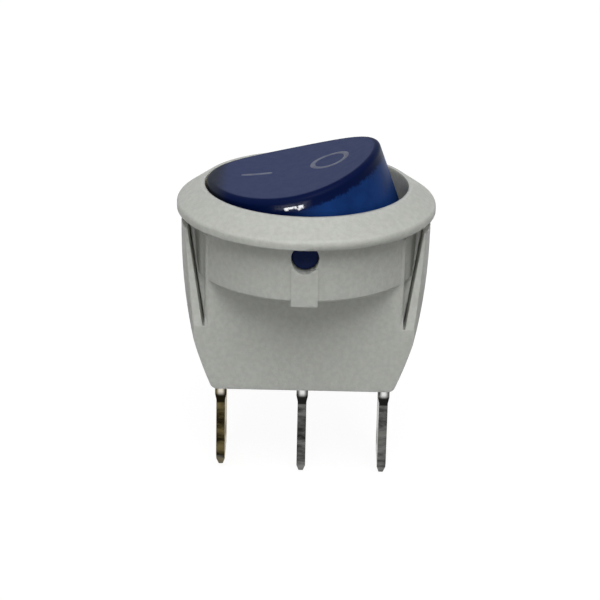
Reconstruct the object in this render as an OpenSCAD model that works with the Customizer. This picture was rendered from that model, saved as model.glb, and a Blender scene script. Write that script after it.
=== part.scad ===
// Round snap-in rocker switch with a pilot lamp, in millimetres.
// The origin is the centre of the seat plane under the bezel, +Z points out of the panel,
// and +X points to the raised end of the rocker.

/* [Bezel and collar] */
// Diameter of the collar that goes through the panel hole
collar_d = 20; // [18:0.1:24]
// How far the bezel overhangs the collar
bezel_lip = 1.5; // [1.2:0.05:3]
// Height of the bezel's outer edge
bezel_edge_h = 0.75; // [0.5:0.05:1.5]
// Height of the bezel's crest round the rocker
bezel_h = 2.25; // [1.6:0.05:3.5]
// Width of the bezel's crest
crest_w = 0.3; // [0.1:0.05:0.6]
// Rounding of the bezel's outer shoulder
bezel_round = 0.45; // [0.1:0.05:0.6]
// Rounding under the bezel's outer edge
bezel_under = 0.15; // [0.1:0.05:0.3]
// Width of the lip that seats on the panel
seat_lip = 0.2; // [0.2:0.05:0.6]
// Depth of the relief groove inside the seat lip
relief_h = 0.35; // [0.1:0.05:0.4]
// Wall between the collar's outside and the rocker's recess
collar_wall = 0.95; // [0.8:0.05:1.5]
// Height of the collar below the seat plane
collar_h = 5.3; // [4.8:0.1:8]
// Chamfer on the collar's lower edge
collar_chamfer = 0.25; // [0.05:0.05:0.5]

/* [Body] */
// Width of the lower body between its snap wings
body_w = 17.5; // [16:0.1:19]
// Depth of the lower body, front to back
body_d = 10.8; // [10:0.1:13]
// Height of the body below the seat plane
body_h = 15.45; // [14:0.05:20]
// Rounding of the lower body's upright edges
body_round = 0.5; // [0.2:0.05:1]
// Thickness of the body's end walls
end_wall = 0.9; // [0.7:0.05:1.4]
// Thickness of the body's front and back walls
side_wall = 1; // [0.7:0.05:1.5]
// Thickness of the body's floor
floor_t = 1.5; // [1:0.1:2.5]
// Thickness of the ledge between the recess and the lower body
ledge_t = 1; // [0.6:0.1:1.5]

/* [Snap wings] */
// How far each wing tip stands out past the collar
wing_bite = 1.05; // [0.6:0.05:1.15]
// Least room from the body's end to the outside of a wing's tip
wing_room = 2; // [1.5:0.05:2.3]
// Thickness of a wing at its tip
wing_tip_t = 0.65; // [0.3:0.05:0.8]
// Gap between a wing tip and the seat plane
wing_gap = 1; // [0.6:0.1:2.5]
// Height of the solid body below the slot behind a wing
wing_root_h = 6; // [3:0.1:7]
// Width of that slot at its closed end
wing_slot_w = 0.2; // [0.1:0.05:0.4]
// Width of a wing at its tip
wing_tip_w = 6.8; // [4:0.1:9]
// Gap between a wing and the collar behind it
wing_clear = 0.3; // [0.2:0.05:0.5]
// How far the body narrows on each side down to its floor
base_taper = 0.7; // [0.3:0.05:0.75]
// Rounding of the base's two ends
base_round = 0.7; // [0.3:0.05:1]

/* [Pivot] */
// Depth of the pivot axis below the seat plane
pivot_depth = 1.2; // [1:0.05:2]
// Diameter of the pivot pins
pin_d = 2.3; // [1.6:0.05:2.6]
// Clearance round a pivot pin
pin_clear = 0.05; // [0.02:0.01:0.1]
// How far a pivot pin ends inside the collar's outer face
pin_recess = 0.45; // [0.2:0.05:0.7]
// Width of the key pad under each pivot hole
pad_w = 2.3; // [1:0.1:4]
// How far the key pad stands out from the collar
pad_proud = 0.1; // [0.05:0.05:0.3]
// How far the key pad hangs below the collar
pad_drop = 0.3; // [0.1:0.05:0.6]

/* [Rocker] */
// Tilt of the rocker from level, at rest
rocker_tilt = 13; // [8:0.5:14]
// Height of the dished top's middle above the pivot axis
rocker_h = 4.7; // [4.3:0.05:6]
// Radius of the dished top
dish_r = 27; // [22:0.5:60]
// Gap between the rocker's skirt and the recess
skirt_gap = 0.5; // [0.4:0.05:1]
// How much each end leans in, from skirt to top
end_lean = 0.7; // [0.4:0.05:1]
// How much the front and back lean in, from skirt to top
side_lean = 1.1; // [0.4:0.05:1.6]
// Rounding of the top's edge
top_round = 0.6; // [0.2:0.05:0.8]
// Thickness of the rocker's walls and top
shell_t = 1.1; // [0.8:0.05:1.4]
// How far the skirt reaches below the pivot axis
skirt_drop = 0.6; // [0.2:0.05:0.8]
// Wall round each pivot pin, in the skirt
ear_wall = 0.7; // [0.4:0.05:0.9]

/* [Plunger] */
// Diameter of the plunger
plunger_d = 2.54; // [2:0.02:3]
// Clearance round the plunger
plunger_clear = 0.08; // [0.03:0.01:0.1]
// Distance from the pivot axis to the plunger's tip
plunger_reach = 6; // [5.6:0.05:6.6]
// Distance from the pivot axis to the plunger's upper end
plunger_top = 1.2; // [0.8:0.05:2]
// Diameter of the spigot inside the plunger's spring
spigot_d = 1.1; // [0.6:0.05:1.2]
// Height of that spigot
spigot_h = 1; // [0.4:0.1:1.5]
// Wall of the post that guides the plunger
post_wall = 0.85; // [0.6:0.05:1.2]
// How far the post reaches below the pivot axis
post_drop = 4.2; // [3.5:0.1:4.5]

/* [Contacts] */
// Thickness of the see-saw blade
blade_t = 0.5; // [0.3:0.05:0.7]
// How much wider the blade's arms are than its contact
arm_margin = 1; // [0.4:0.1:1.4]
// Tilt of the blade from level, at rest
blade_tilt = 5; // [4:0.5:7]
// Distance from the right terminal to the contact
contact_inset = 2.5; // [2.2:0.1:2.9]
// Diameter of the contact rivets' heads
contact_d = 2.4; // [1.8:0.1:2.8]
// Height of the contact rivets' heads
contact_h = 0.55; // [0.4:0.05:0.8]
// Diameter of the contact rivets' shanks
shank_d = 1.2; // [0.8:0.1:1.4]
// Radius of the moving contact's crown
crown_r = 4; // [3:0.5:10]
// Clearance between parts that touch or rub
touch_gap = 0.05; // [0.03:0.01:0.08]

/* [Terminals] */
// Thickness of the terminals
tab_t = 0.8; // [0.6:0.05:1]
// Width of the tabs below the body
tab_w = 4.8; // [4:0.1:6.3]
// Length of the middle and right tabs below the body
tab_len = 9.85; // [7:0.05:14]
// How much shorter the lamp's tab is
lamp_tab_short = 0.5; // [0:0.05:1]
// Length of the taper at a tab's tip
tab_taper_h = 1.4; // [0.8:0.1:2.4]
// Width of a tab's end
tab_end_w = 2.6; // [1.6:0.1:3.6]
// Thickness of a tab's end
tip_t = 0.4; // [0.2:0.05:0.6]
// Length of the thinner part at a tab's tip
tip_taper_h = 0.8; // [0.4:0.1:1.4]
// Thickness of the swaged bead that locks a terminal under the floor
bead_t = 1.05; // [0.9:0.05:1.4]
// Height of that bead
bead_h = 2.4; // [0.8:0.1:3]
// Diameter of the wire hole in a tab
tab_hole_d = 1.7; // [1:0.1:2.2]
// Distance from a tab's end to its wire hole
tab_hole_h = 3; // [2.6:0.1:4]
// Gap between the shoulders that sit on the floor and the body's side walls
shoulder_gap = 0.6; // [0.4:0.05:1]
// How far the end terminals' shelves reach in past the contact
shelf_past = 1.05; // [0.8:0.05:1.4]
// Inner radius of the shelves' bends
bend_r = 0.3; // [0.1:0.05:0.5]
// Height of the middle terminal's horns above the blade
horn_h = 0.35; // [0.2:0.05:0.6]
// Width of each horn
horn_w = 0.7; // [0.5:0.05:0.9]

/* [Pilot lamp] */
// Diameter of the lamp
lamp_d = 3; // [2.6:0.1:3.2]
// Length of the lamp
lamp_len = 5.2; // [4.5:0.1:5.6]
// Distance of the lamp's axis from the middle of the rocker
lamp_x = 3.9; // [3.8:0.05:4]
// Diameter of the resistor
resistor_d = 1.7; // [1.4:0.1:1.8]
// Length of the resistor's body
resistor_len = 3.4; // [3:0.1:3.8]
// Distance of the resistor's axis behind the middle of the rocker
resistor_y = 4.3; // [4.1:0.05:4.6]
// Diameter of the lead wires
lead_d = 0.5; // [0.3:0.05:0.6]
// Distance of the spring sleeves from the rocker's upright axis
sleeve_pitch = 6.05; // [5.9:0.05:6.1]
// Inner diameter of the spring sleeves
sleeve_d = 2.4; // [2.3:0.05:2.6]
// Wall of the spring sleeves
sleeve_wall = 0.5; // [0.35:0.05:0.6]
// How far the sleeves reach below the pivot axis
sleeve_drop = 1.2; // [0.8:0.05:1.3]

/* [Springs] */
// Outer diameter of the two lamp springs
feed_spring_d = 1.2; // [1:0.05:1.3]
// Wire diameter of the lamp springs
feed_wire_d = 0.24; // [0.16:0.02:0.3]
// Turns of the lamp springs
feed_turns = 11; // [8:1:14]
// Outer diameter of the plunger's spring
plunger_spring_d = 2.1; // [1.8:0.05:2.3]
// Wire diameter of the plunger's spring
plunger_wire_d = 0.34; // [0.2:0.02:0.4]
// Turns of the plunger's spring
plunger_turns = 6; // [4:1:9]

/* [Hidden] */
$fn = 96;

// Small overlap that keeps cuts and unions clean
eps = 0.2;
collar_r = collar_d / 2;
bezel_r = collar_r + bezel_lip;
recess_r = collar_r - collar_wall;
recess_z = -(collar_h - ledge_t);
floor_z = -body_h + floor_t;
cavity_w = body_w - 2 * end_wall;
cavity_d = body_d - 2 * side_wall;

// The outside of each wing is one arc, upright at its tip and ending at the body's base
wing_tip_x = max(collar_r + wing_bite, body_w / 2 + wing_room);
wing_slot_h = body_h - wing_root_h;
base_x = body_w / 2 - base_taper;
arc_run = wing_tip_x - base_x;
arc_drop = body_h - wing_gap;
wing_arc_r = (arc_run * arc_run + arc_drop * arc_drop) / (2 * arc_run);
// The base's rounding touches that arc from inside, and the base
round_reach = wing_arc_r - base_round;
round_x = wing_tip_x - wing_arc_r + sqrt(pow(round_reach, 2) - pow(arc_drop - base_round, 2));
round_top = -wing_gap - (arc_drop - base_round) * wing_arc_r / round_reach;
// Change of the slot's outer face across X for each millimetre of height
slot_slope = (wing_tip_x - wing_tip_t - body_w / 2 - wing_slot_w) / (wing_slot_h - wing_gap);
wing_max_r = max(bezel_r - bezel_under - seat_lip - touch_gap, wing_tip_x + touch_gap);

// Rocker, in its own level frame with the pivot axis at the origin
skirt_r = recess_r - skirt_gap;
ear_r = pin_d / 2 + ear_wall;
pin_tip_y = collar_r - pin_recess;
bore_r = plunger_d / 2 + plunger_clear;
post_r = bore_r + post_wall;
bore_top = rocker_h - 2 * shell_t;
sleeve_r = sleeve_d / 2 + sleeve_wall;
// The lamp's springs stand midway between the blade's arms and the side wall
arm_w = contact_d + arm_margin;
sleeve_y = (cavity_d + arm_w) / 4;
sleeve_x = sqrt(sleeve_pitch * sleeve_pitch - sleeve_y * sleeve_y);
lead_z = rocker_h - 2 * shell_t + lead_d / 5;
lamp_z = rocker_h - shell_t - lamp_d / 2 + touch_gap;
resistor_z = rocker_h - shell_t - resistor_d / 2 - 2 * touch_gap;
loft_sides = 48;

// Contacts: the fulcrum is the rounded top edge of the middle terminal
tab_x = cavity_w / 2 - touch_gap - tab_t / 2;
contact_x = tab_x - contact_inset;
arm_len = contact_x + contact_d / 2;
fulcrum_r = tab_t / 2;
blade_under = fulcrum_r + touch_gap / 2;
fulcrum_z = -pivot_depth - plunger_reach - touch_gap - blade_t - blade_under;
contact_drop = contact_x * sin(blade_tilt) + (contact_h - blade_under) * cos(blade_tilt);
contact_z = fulcrum_z - contact_drop - touch_gap;
shelf_z = contact_z - contact_h;
shelf_x = min(contact_x, sleeve_x) - shelf_past;
shoulder_w = cavity_d - 2 * shoulder_gap;
horn_y = arm_w / 2 + 2 * touch_gap;
notch_x = tab_t / 2 + 7 * touch_gap;
saddle_w = 2 * (horn_y + horn_w);
stop_w = 2 * tab_t;
stop_x = shelf_x - 2 * touch_gap - stop_w / 2;

// A size along the rocker's own axes, carried to its resting tilt
function tilted(p) = [
    p[0] * cos(rocker_tilt) - p[2] * sin(rocker_tilt),
    p[1],
    p[0] * sin(rocker_tilt) + p[2] * cos(rocker_tilt) - pivot_depth];

// Height of a dished top of the given radius, at a distance from its middle
function dish(x, r) = r - sqrt(r * r - x * x);

// One ring of the rocker's skin: inset from the wall, height share up the wall, drop below the top
function skin_ring(inset, share, drop, shrink = 1) = [for (i = [0 : loft_sides - 1])
    let (a = 360 * i / loft_sides,
        x = (skirt_r - end_lean * share - inset) * shrink * cos(a),
        y = (skirt_r - side_lean * share - inset) * shrink * sin(a),
        top = rocker_h + dish(x, dish_r) - drop)
    [x, y, share * top - (1 - share) * skirt_drop]];

// Triangles that join rings of n points each, with a flat first cap and a flat last cap
function strip_faces(rings, n) = concat(
    [[for (j = [0 : n - 1]) j]],
    [for (i = [0 : rings - 2], j = [0 : n - 1])
        [i * n + j, (i + 1) * n + j, (i + 1) * n + (j + 1) % n]],
    [for (i = [0 : rings - 2], j = [0 : n - 1])
        [i * n + j, (i + 1) * n + (j + 1) % n, i * n + (j + 1) % n]],
    [[for (j = [n - 1 : -1 : 0]) (rings - 1) * n + j]]);

// Height along a coil with closed end turns
function coil_z(turn, turns, len, wire) =
    turn < 1 ? wire * turn :
    turn > turns - 1 ? len - wire * (turns - turn) :
    wire + (len - 2 * wire) * (turn - 1) / (turns - 2);

// A rectangle with round corners, centred on the origin
module rounded_rect(w, h, r) {
    square([w - 2 * r, h], center = true);
    square([w, h - 2 * r], center = true);
    for (x = [-1, 1], y = [-1, 1])
        translate([x * (w / 2 - r), y * (h / 2 - r)])
            circle(r = r);
}

// Raises an outline drawn in X and Z, centred across Y
module extrude_y(depth)
    translate([0, depth / 2, 0])
        rotate([90, 0, 0])
            linear_extrude(depth)
                children();

// Raises an outline drawn in Y and Z, centred across X
module extrude_x(width)
    translate([-width / 2, 0, 0])
        rotate([90, 0, 90])
            linear_extrude(width)
                children();

// A closed-end coil spring standing on the origin
module coil(outer_d, wire, turns, len, steps, sides) {
    mean_r = (outer_d - wire) / 2;
    rings = turns * steps + 1;
    points = [for (k = [0 : rings - 1], j = [0 : sides - 1])
        let (a = 360 * k / steps,
            s = 360 * j / sides,
            r = mean_r + wire / 2 * cos(s),
            z = wire / 2 + coil_z(k / steps, turns, len - wire, wire))
        [r * cos(a), r * sin(a), z - wire / 2 * sin(s)]];
    polyhedron(points, strip_faces(rings, sides));
}

// Direction of a route at one of its points, halved at bends
function heading(points, i) =
    let (last = len(points) - 1,
        before = points[max(i, 1)] - points[max(i, 1) - 1],
        after = points[min(i + 1, last)] - points[min(i + 1, last) - 1],
        sum = before / norm(before) + after / norm(after))
    sum / norm(sum);

// A round wire through the given points, which never runs upright
module wire(points, d) {
    sides = 12;
    rings = [for (i = [0 : len(points) - 1])
        let (ahead = heading(points, i),
            across = cross([0, 0, 1], ahead) / norm(cross([0, 0, 1], ahead)),
            above = cross(ahead, across))
        for (j = [0 : sides - 1])
            points[i] + d / 2 * (cos(360 * j / sides) * across + sin(360 * j / sides) * above)];
    polyhedron(rings, strip_faces(len(points), sides));
}

// Places the rocker's own level frame at its pivot and resting tilt
module at_rocker()
    translate([0, 0, -pivot_depth])
        rotate([0, -rocker_tilt, 0])
            children();

// Places the blade's own level frame at the fulcrum and its resting tilt
module at_blade()
    translate([0, 0, fulcrum_z])
        rotate([0, blade_tilt, 0])
            children();

// Bezel and collar as one turned outline
module bezel_outline() {
    shoulder_r = min(bezel_round, bezel_edge_h * 0.9);
    slope = atan2(bezel_h - bezel_edge_h, bezel_r - recess_r - crest_w);
    // The shoulder's round touches the upright edge and the cone
    shoulder_x = bezel_r - shoulder_r;
    shoulder_z = bezel_edge_h - shoulder_r * tan((90 - slope) / 2);
    difference() {
        union() {
            polygon([
                [0, -collar_h],
                [collar_r - collar_chamfer, -collar_h],
                [collar_r, -collar_h + collar_chamfer],
                [collar_r, 0],
                [bezel_r - bezel_under, 0],
                [bezel_r, bezel_under],
                [bezel_r, shoulder_z],
                [shoulder_x + shoulder_r * sin(slope), shoulder_z + shoulder_r * cos(slope)],
                [recess_r + crest_w, bezel_h],
                [0, bezel_h]]);
            translate([shoulder_x, shoulder_z])
                circle(r = shoulder_r);
            translate([bezel_r - bezel_under, bezel_under])
                circle(r = bezel_under);
        }
        translate([collar_r, -eps])
            square([bezel_lip - bezel_under - seat_lip, relief_h + eps]);
    }
}

// Front outline of the body with both wings, in X and Z
module body_side() {
    for (side = [0, 1])
        mirror([side, 0])
            intersection() {
                translate([wing_tip_x - wing_arc_r, -wing_gap])
                    circle(r = wing_arc_r, $fn = 720);
                union() {
                    translate([-eps, round_top])
                        square([wing_tip_x + 2 * eps, -wing_gap - round_top]);
                    translate([-eps, -body_h])
                        square([round_x + eps, body_h + round_top + eps]);
                    translate([round_x, base_round - body_h])
                        circle(r = base_round);
                }
            }
}

// The slot behind the right wing, in X and Z
module wing_slot()
    polygon([
        [body_w / 2, eps],
        [body_w / 2, -wing_slot_h],
        [body_w / 2 + wing_slot_w, -wing_slot_h],
        [wing_tip_x - wing_tip_t, -wing_gap],
        [wing_tip_x - wing_tip_t, eps]]);

// What the collar loses behind the right wing, in X and Z: a face parallel to the wing's inner face
module wing_flat() {
    top_x = wing_tip_x - wing_tip_t + slot_slope * wing_gap - wing_clear;
    low_z = -collar_h - eps;
    polygon([
        [top_x, 0],
        [top_x + slot_slope * low_z, low_z],
        [wing_max_r + collar_r, low_z],
        [wing_max_r + collar_r, 0]]);
}

// Lower body with its wings, before it is hollowed
module body_block()
    intersection() {
        difference() {
            extrude_y(body_d)
                body_side();
            for (side = [0, 1])
                mirror([side, 0, 0])
                    extrude_y(body_d + eps)
                        wing_slot();
        }
        union() {
            // Rounded upright edges between the wings
            translate([0, 0, -body_h])
                linear_extrude(body_h)
                    rounded_rect(body_w, body_d, body_round);
            // The wings narrow from the body's depth to their tips
            extrude_x(2 * wing_max_r)
                polygon([
                    [-body_d / 2, -body_h],
                    [body_d / 2, -body_h],
                    [body_d / 2, -wing_slot_h],
                    [wing_tip_w / 2, -wing_gap],
                    [-wing_tip_w / 2, -wing_gap],
                    [-body_d / 2, -wing_slot_h]]);
        }
        translate([0, 0, -body_h])
            cylinder(r = wing_max_r, h = body_h);
    }

// White nylon moulding: bezel, collar, body, wings and pads
module housing()
    color([0.74, 0.74, 0.72])
    difference() {
        union() {
            difference() {
                rotate_extrude()
                    bezel_outline();
                // Flats behind the wings
                for (side = [0, 1])
                    mirror([side, 0, 0])
                        extrude_y(collar_d)
                            wing_flat();
            }
            body_block();
            for (side = [-1, 1])
                translate([0, side * (collar_r + pad_proud - collar_wall / 2),
                        -(pivot_depth + pin_d / 2 - eps + collar_h + pad_drop) / 2])
                    cube([pad_w, collar_wall, collar_h + pad_drop - pivot_depth - pin_d / 2 + eps],
                        center = true);
        }
        // Recess for the rocker
        translate([0, 0, recess_z])
            cylinder(r = recess_r, h = bezel_h - recess_z + eps);
        // Contact chamber, with its fixed stop for the blade's idle arm
        difference() {
            translate([-cavity_w / 2, -cavity_d / 2, floor_z])
                cube([cavity_w, cavity_d, recess_z - floor_z + eps]);
            translate([-stop_x - stop_w / 2, -arm_w / 2, floor_z - eps])
                cube([stop_w, arm_w, stop_top() - floor_z + eps]);
        }
        for (x = [-tab_x, 0, tab_x])
            translate([x, 0, floor_z - floor_t / 2])
                cube([tab_t + 2 * touch_gap, tab_w + 2 * touch_gap, floor_t + 2 * eps], center = true);
        // Pivot holes
        for (side = [-1, 1])
            translate([0, side * collar_r, -pivot_depth])
                rotate([90, 0, 0])
                    cylinder(d = pin_d + 2 * pin_clear, h = 2 * collar_wall + 2 * pad_proud + eps, center = true);
    }

// Height of the stop under the blade's idle arm
function stop_top() = fulcrum_z + blade_under * cos(blade_tilt)
    - (stop_x + stop_w / 2) * sin(blade_tilt) - touch_gap;

// Outer skin of the rocker
module rocker_skin() {
    steps = 3;
    rings = concat(
        [skin_ring(0, 0, 0), skin_ring(0, 0.5, top_round)],
        [for (k = [0 : steps]) let (a = 90 * k / steps)
            skin_ring(top_round * (1 - cos(a)), 1, top_round * (1 - sin(a)))],
        [for (s = [0.68, 0.36, 0.05]) skin_ring(top_round, 1, 0, s)]);
    polyhedron([for (r = rings) each r], strip_faces(len(rings), loft_sides));
}

// Space inside the rocker, open below
module rocker_hollow() {
    below = [for (p = skin_ring(shell_t, 0, 0)) [p[0], p[1], -skirt_drop - eps]];
    rings = concat(
        [below, skin_ring(shell_t, 0.5, shell_t)],
        [for (s = [1, 0.68, 0.36, 0.05]) skin_ring(shell_t, 1, shell_t, s)]);
    polyhedron([for (r = rings) each r], strip_faces(len(rings), loft_sides));
}

// Rocker in its level frame
module rocker_level() {
    $fn = loft_sides;
    post_top = rocker_h - shell_t / 2;
    difference() {
        union() {
            difference() {
                rocker_skin();
                rocker_hollow();
            }
            translate([0, 0, -post_drop])
                cylinder(r = post_r, h = post_drop + post_top);
            for (side = [-1, 1])
                translate([side * sleeve_x, sleeve_y, -sleeve_drop])
                    cylinder(r = sleeve_r, h = sleeve_drop + post_top);
            for (side = [0, 1])
                mirror([0, side, 0])
                    rotate([-90, 0, 0]) {
                        translate([0, 0, skirt_r - 1.6 * shell_t])
                            cylinder(r = ear_r, h = 1.3 * shell_t);
                        translate([0, 0, skirt_r - shell_t])
                            cylinder(d = pin_d, h = pin_tip_y - skirt_r + shell_t);
                    }
        }
        translate([0, 0, -post_drop - eps])
            cylinder(r = bore_r, h = post_drop + bore_top + eps);
        for (side = [-1, 1])
            translate([side * sleeve_x, sleeve_y, -sleeve_drop - eps])
                cylinder(d = sleeve_d, h = sleeve_drop + lead_z + lead_d + eps);
        // Slots that let the leads into the sleeves
        translate([-sleeve_x - lead_d, sleeve_y - sleeve_r - eps, lead_z - lead_d])
            cube([2 * lead_d, sleeve_r + eps, 2 * lead_d]);
        translate([sleeve_x - sleeve_r - eps, sleeve_y - lead_d, lead_z - lead_d])
            cube([sleeve_r + eps, 2 * lead_d, 2 * lead_d]);
    }
}

module rocker()
    color([0.1, 0.14, 0.34])
    at_rocker()
        rocker_level();

module plunger()
    color([0.85, 0.85, 0.82])
    at_rocker() {
        translate([0, 0, -plunger_reach + plunger_d / 2]) {
            sphere(d = plunger_d);
            cylinder(d = plunger_d, h = plunger_reach - plunger_d / 2 - plunger_top);
        }
        translate([0, 0, -plunger_top - eps])
            cylinder(d = spigot_d, h = spigot_h + eps);
    }

module plunger_spring()
    color([0.6, 0.6, 0.62])
    at_rocker()
        translate([0, 0, -plunger_top + touch_gap])
            coil(plunger_spring_d, plunger_wire_d, plunger_turns,
                bore_top + plunger_top - 2 * touch_gap, 12, 6);

// Tab below the floor and its shoulder above, in Y and Z, for a tab of the given length
module tab_outline(length, shoulder_top) {
    polygon([
        [-tab_end_w / 2, -body_h - length],
        [tab_end_w / 2, -body_h - length],
        [tab_w / 2, -body_h - length + tab_taper_h],
        [tab_w / 2, floor_z + eps],
        [-tab_w / 2, floor_z + eps],
        [-tab_w / 2, -body_h - length + tab_taper_h]]);
    translate([-shoulder_w / 2, floor_z])
        square([shoulder_w, shoulder_top - floor_z]);
}

// Edge view of that tab, thinner at its tip, in X and Z
module tab_edge(length) {
    tip = -body_h - length;
    polygon([
        [-tip_t / 2, tip],
        [tip_t / 2, tip],
        [tab_t / 2, tip + tip_taper_h],
        [tab_t / 2, 0],
        [-tab_t / 2, 0],
        [-tab_t / 2, tip + tip_taper_h]]);
}

// Edge view of the swaged bead under the floor, in X and Z
module bead_edge() {
    top = -body_h - touch_gap;
    polygon([
        [-tab_t / 2, top],
        [tab_t / 2, top],
        [bead_t / 2, top - bead_h / 4],
        [bead_t / 2, top - 3 * bead_h / 4],
        [tab_t / 2, top - bead_h],
        [-tab_t / 2, top - bead_h],
        [-bead_t / 2, top - 3 * bead_h / 4],
        [-bead_t / 2, top - bead_h / 4]]);
}

// Tab, bead and shoulder of a terminal, with the shoulder up to the given height
module tab(length, shoulder_top) {
    intersection() {
        extrude_x(2 * tab_t)
            tab_outline(length, shoulder_top);
        extrude_y(2 * shoulder_w)
            tab_edge(length);
    }
    extrude_y(tab_w)
        bead_edge();
}

// Wire hole through a tab of the given length
module tab_hole(length)
    translate([0, 0, -body_h - length + tab_hole_h])
        rotate([0, 90, 0])
            cylinder(d = tab_hole_d, h = 2 * tab_t, center = true);

// End terminal: a tab that turns in to a shelf, with a hole for a rivet if wanted
module end_terminal(length, rivet_hole) {
    outer_r = bend_r + tab_t;
    bend_x = tab_x + tab_t / 2 - outer_r;
    difference() {
        union() {
            translate([tab_x, 0, 0])
                tab(length, shelf_z - outer_r);
            extrude_y(shoulder_w) {
                translate([shelf_x, shelf_z - tab_t])
                    square([bend_x - shelf_x, tab_t]);
                translate([bend_x, shelf_z - outer_r])
                    intersection() {
                        difference() {
                            circle(r = outer_r);
                            circle(r = bend_r);
                        }
                        square(outer_r);
                    }
            }
        }
        translate([tab_x, 0, 0])
            tab_hole(length);
        if (rivet_hole)
            translate([contact_x, 0, shelf_z - 2 * tab_t])
                cylinder(d = shank_d + touch_gap, h = 3 * tab_t);
    }
}

module terminal_lamp()
    color([0.62, 0.5, 0.25])
    mirror([1, 0, 0])
        end_terminal(tab_len - lamp_tab_short, false);

module terminal_load()
    color([0.66, 0.66, 0.64])
    end_terminal(tab_len, true);

// Middle terminal: a rounded top edge carries the blade between two horns
module terminal_common()
    color([0.66, 0.66, 0.64])
    difference() {
        union() {
            tab(tab_len, fulcrum_z);
            extrude_x(tab_t)
                for (side = [-1, 1])
                    translate([side * (horn_y + horn_w / 2), fulcrum_z + horn_top() / 2 - eps])
                        square([horn_w, horn_top() + 2 * eps], center = true);
            translate([0, 0, fulcrum_z])
                rotate([90, 0, 0])
                    cylinder(r = fulcrum_r, h = 2 * horn_y, center = true);
        }
        tab_hole(tab_len);
    }

// Height of the horns above the fulcrum's axis
function horn_top() = blade_under + blade_t + horn_h;

// A contact rivet: crown at the origin facing down, shank upwards through a sheet
module rivet(sheet_t, crown)
    rotate_extrude() {
        intersection() {
            translate([0, crown])
                circle(r = crown, $fn = 360);
            square([contact_d / 2, contact_h]);
        }
        translate([0, contact_h / 2])
            square([shank_d / 2, contact_h / 2 + sheet_t]);
        translate([0, contact_h + sheet_t])
            square([shank_d * 0.75, contact_h / 2]);
    }

module load_contact()
    color([0.8, 0.8, 0.8])
    translate([contact_x, 0, contact_z])
        mirror([0, 0, 1])
            rivet(tab_t, 20 * crown_r);

// See-saw blade: arms, a wide saddle and notches that straddle the horns
module contact_blade()
    color([0.72, 0.45, 0.25])
    at_blade()
        translate([0, 0, blade_under])
            linear_extrude(blade_t)
                difference() {
                    union() {
                        square([2 * arm_len, arm_w], center = true);
                        square([saddle_w, saddle_w], center = true);
                    }
                    for (side = [-1, 1])
                        translate([0, side * (arm_w / 2 + touch_gap + saddle_w / 2)])
                            square([2 * notch_x, saddle_w], center = true);
                    translate([contact_x, 0])
                        circle(d = shank_d + touch_gap);
                }

module blade_contact()
    color([0.8, 0.8, 0.8])
    at_blade()
        translate([contact_x, 0, blade_under - contact_h])
            rivet(blade_t, crown_r);

module pilot_lamp()
    color([0.9, 0.9, 0.95])
    at_rocker()
        translate([-lamp_x, lamp_rear_y(), lamp_z])
            rotate([90, 0, 0]) {
                cylinder(d = lamp_d, h = lamp_len - lamp_d / 2);
                translate([0, 0, lamp_len - lamp_d / 2])
                    sphere(d = lamp_d);
            }

// Rear end of the lamp, just in front of the left sleeve
function lamp_rear_y() = sleeve_y - sleeve_r - 1.5 * lead_d;

module resistor()
    color([0.75, 0.66, 0.5])
    at_rocker()
        translate([0, resistor_y, resistor_z])
            rotate([0, 90, 0])
                cylinder(d = resistor_d, h = resistor_len, center = true);

module lamp_lead()
    color([0.7, 0.7, 0.7])
    at_rocker()
        wire([
            [-lamp_x - lamp_d / 5, lamp_rear_y(), lamp_z],
            [-lamp_x - lamp_d / 5, lamp_rear_y() + lead_d, lamp_z],
            [-sleeve_x, sleeve_y - sleeve_r, lead_z],
            [-sleeve_x, sleeve_y + sleeve_d / 4, lead_z]], lead_d);

module link_lead()
    color([0.7, 0.7, 0.7])
    at_rocker()
        wire([
            [-lamp_x + lamp_d / 5, lamp_rear_y(), lamp_z],
            [-lamp_x + lamp_d / 5, lamp_rear_y() + lead_d, lamp_z],
            [-(post_r + sleeve_x - sleeve_r) / 2, sleeve_y, lead_z],
            [-resistor_len / 2 - 2 * lead_d, resistor_y, resistor_z],
            [-resistor_len / 2, resistor_y, resistor_z]], lead_d);

module resistor_lead()
    color([0.7, 0.7, 0.7])
    at_rocker()
        wire([
            [resistor_len / 2, resistor_y, resistor_z],
            [resistor_len / 2 + lead_d, resistor_y, resistor_z],
            [sleeve_x - sleeve_r, sleeve_y, lead_z],
            [sleeve_x + sleeve_d / 4, sleeve_y, lead_z]], lead_d);

// Coil between an end terminal's shelf and the lead in a sleeve, on the given side
module feed_spring(side) {
    middle = tilted([side * sleeve_x, sleeve_y, (lead_z - sleeve_drop) / 2]);
    seat = tilted([side * sleeve_x, sleeve_y, lead_z - lead_d / 2]);
    slant = feed_spring_d * tan(rocker_tilt);
    foot = shelf_z + touch_gap;
    translate([middle[0], middle[1], foot])
        coil(feed_spring_d, feed_wire_d, feed_turns, seat[2] - slant - foot, 10, 5);
}

module lamp_spring()
    color([0.6, 0.6, 0.62])
    feed_spring(-1);

module load_spring()
    color([0.6, 0.6, 0.62])
    feed_spring(1);

housing();
rocker();
plunger();
plunger_spring();
terminal_lamp();
terminal_common();
terminal_load();
load_contact();
contact_blade();
blade_contact();
pilot_lamp();
resistor();
lamp_lead();
link_lead();
resistor_lead();
lamp_spring();
load_spring();
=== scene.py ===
import math

import bmesh
import bpy
import numpy as np
from mathutils import Matrix, Vector


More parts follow.
